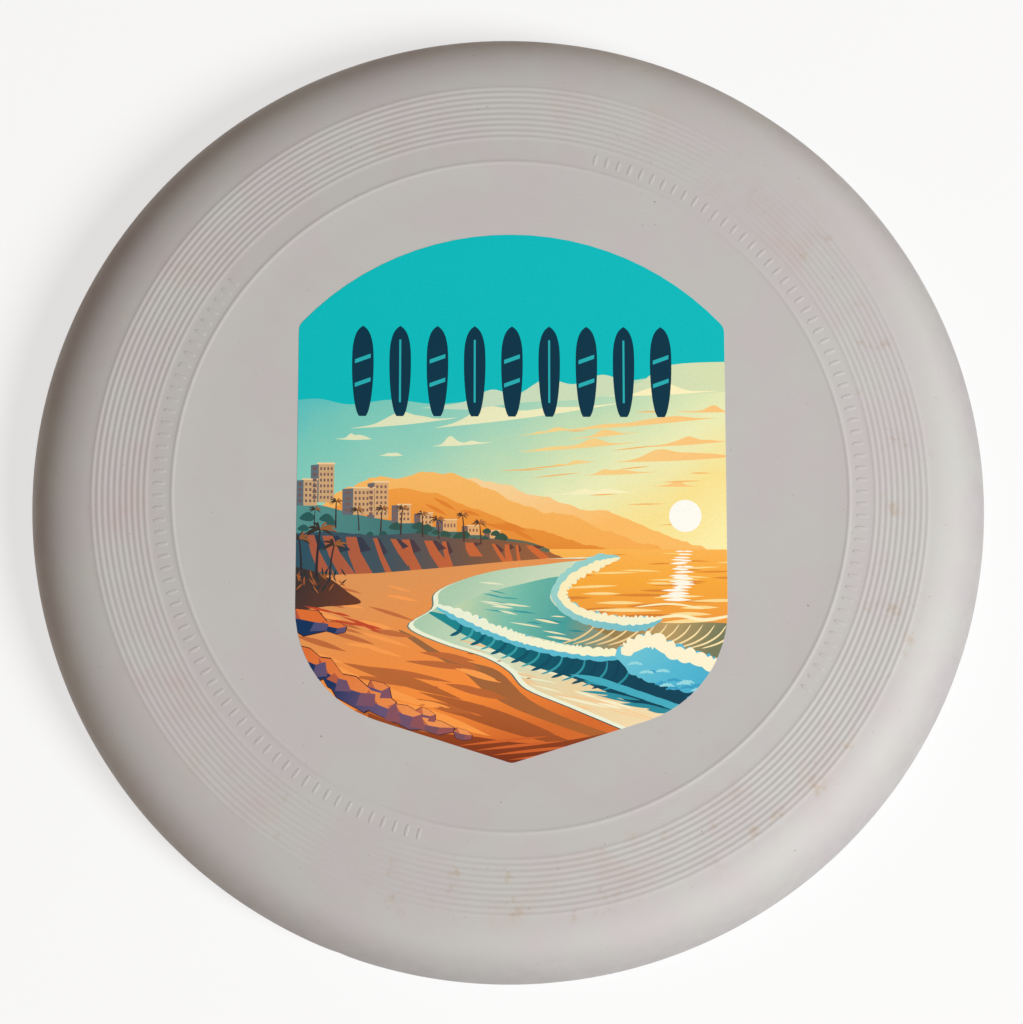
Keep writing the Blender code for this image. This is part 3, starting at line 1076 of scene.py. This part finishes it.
def split_picture(layers, shield):
    """Cut the picture along every outline, and give each triangle to the front layer that covers it."""
    corners, edges = [], []
    for layer in layers:
        for shape in layer.shapes:
            first = len(corners)
            corners += [Vector(point) for point in shape]
            edges += [(first + index, first + (index + 1) % len(shape)) for index in range(len(shape))]
    places, _, triangles, *_ = delaunay_2d_cdt(corners, edges, [], 0, WELD, False)
    places = np.array([tuple(place) for place in places])
    triangles = np.array(triangles)
    middles = places[triangles].mean(axis=1)
    owner = np.full(len(triangles), -1)
    for number, layer in enumerate(layers):
        for shape in layer.shapes:
            low, high = np.min(shape, axis=0), np.max(shape, axis=0)
            near = np.nonzero(np.all((middles >= low) & (middles <= high), axis=1))[0]
            owner[near[inside(middles[near], shape)]] = number
    owner[~inside(middles, shield)] = -1
    return places, [triangles[owner == number].tolist() for number in range(len(layers))]


def ink_sheet(places, triangles):
    """A thin closed sheet over some triangles of the plane: its top, its underside and its edges."""
    used = sorted({corner for triangle in triangles for corner in triangle})
    index = {corner: number for number, corner in enumerate(used)}
    flat = [(places[corner][0] * MM, places[corner][1] * MM + PICTURE_Y) for corner in used]
    vertices = [(x, y, INK_TOP) for x, y in flat] + [(x, y, INK_FOOT) for x, y in flat]
    down = len(used)
    steps = set()
    faces = []
    for triangle in triangles:
        a, b, c = (index[corner] for corner in triangle)
        faces.append((a, b, c))
        faces.append((c + down, b + down, a + down))
        steps |= {(a, b), (b, c), (c, a)}
    faces += [(a + down, b + down, b, a) for a, b in sorted(steps) if (b, a) not in steps]
    return vertices, faces


def make_print():
    shield = shield_outline()
    layers = paint_picture(shield)
    places, shares = split_picture(layers, shield)
    for layer, triangles in zip(layers, shares):
        if triangles:
            material = ink_material("ink_" + layer.name, layer.colours, layer.start, layer.end)
            sheet = mesh_object("ink_" + layer.name, *ink_sheet(places, triangles), material)
            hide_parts("printed_artwork")


# ------------ stage

CAMERA_DISTANCE = 0.55
CAMERA_TILT = radians(8.0)
CAMERA_TURN = 0.17
CAMERA_TARGET = Vector((0.15 * MM, -3.72 * MM, 15.0 * MM))
CAMERA_LENS = 79.1
CAMERA_SENSOR = 36.0
CAMERA_NEAR = 0.05
KEY_TURN = radians(-30)
KEY_RISE = radians(44.5)
KEY_DISTANCE = 3.2
KEY_SIZE = 1.4
KEY_POWER = 129.0
KEY_COLOUR = (0.96, 0.98, 1.0)
WORLD_COLOUR = (1.0, 0.72, 0.5, 1.0)
WORLD_STRENGTH = 0.17
BACKDROP_COLOUR = rgb("f6f6f6")
FLOOR_GLOW = 0.7
FLOOR_HALF = 3.0
FLOOR_DROP = 0.2 * MM


def make_camera():
    """Almost straight down, tilted a little towards the picture's foot, with the picture upright."""
    away = Vector((-sin(CAMERA_TURN), -cos(CAMERA_TURN), 0.0)) * sin(CAMERA_TILT)
    away.z = cos(CAMERA_TILT)
    right = Vector((0.0, 1.0, 0.0)).cross(away).normalized()
    up = away.cross(right)
    data = bpy.data.cameras.new("camera")
    data.lens = CAMERA_LENS
    data.sensor_width = CAMERA_SENSOR
    data.clip_start = CAMERA_NEAR
    camera = new_object("camera", data)
    turn = Matrix((right, up, away)).transposed().to_4x4()
    camera.matrix_world = Matrix.Translation(CAMERA_TARGET + away * CAMERA_DISTANCE) @ turn
    bpy.context.scene.camera = camera


def make_floor():
    made = Nodes("pale_floor")
    looks = {
        "Base Color": made.mix(made.noise(3.0, 2.0), rgb("868686"), rgb("8a8a8a")),
        "Roughness": 0.9,
        "Specular IOR Level": 0.1,
        "Emission Color": (1.0, 1.0, 1.0, 1.0),
        "Emission Strength": FLOOR_GLOW,
    }
    made.feed(made.shader, looks)
    mesh = bpy.data.meshes.new("floor")
    corners = [(x * FLOOR_HALF, y * FLOOR_HALF, 0) for x, y in ((-1, -1), (1, -1), (1, 1), (-1, 1))]
    mesh.from_pydata(corners, [], [(0, 1, 2, 3)])
    mesh.materials.append(made.material)
    floor = new_object("floor", mesh)
    floor.location.z = -FLOOR_DROP


def make_key():
    """One large soft lamp from the right."""
    data = bpy.data.lights.new("key", "AREA")
    data.shape = "DISK"
    data.size = KEY_SIZE
    data.energy = KEY_POWER
    data.color = KEY_COLOUR
    lamp = new_object("key", data)
    flat = cos(KEY_RISE)
    away = Vector((cos(KEY_TURN) * flat, sin(KEY_TURN) * flat, sin(KEY_RISE)))
    lamp.location = away * KEY_DISTANCE
    lamp.rotation_euler = away.to_track_quat("Z", "Y").to_euler()


def make_world():
    """A dim warm fill. The camera sees a pale backdrop in its place."""
    world = bpy.data.worlds.new("studio")
    world.use_nodes = True
    nodes, links = world.node_tree.nodes, world.node_tree.links
    fill = nodes["Background"]
    fill.inputs["Color"].default_value = WORLD_COLOUR
    fill.inputs["Strength"].default_value = WORLD_STRENGTH
    backdrop = nodes.new("ShaderNodeBackground")
    backdrop.inputs["Color"].default_value = BACKDROP_COLOUR
    seen = nodes.new("ShaderNodeLightPath")
    either = nodes.new("ShaderNodeMixShader")
    links.new(seen.outputs["Is Camera Ray"], either.inputs[0])
    links.new(fill.outputs[0], either.inputs[1])
    links.new(backdrop.outputs[0], either.inputs[2])
    links.new(either.outputs[0], nodes["World Output"].inputs["Surface"])
    bpy.context.scene.world = world


def make_stage():
    make_camera()
    make_floor()
    make_key()
    make_world()
    bpy.context.scene.view_settings.view_transform = "Standard"


make_stage()
plastic = plastic_material()
make_shell(plastic)
make_ticks(plastic)
make_print()
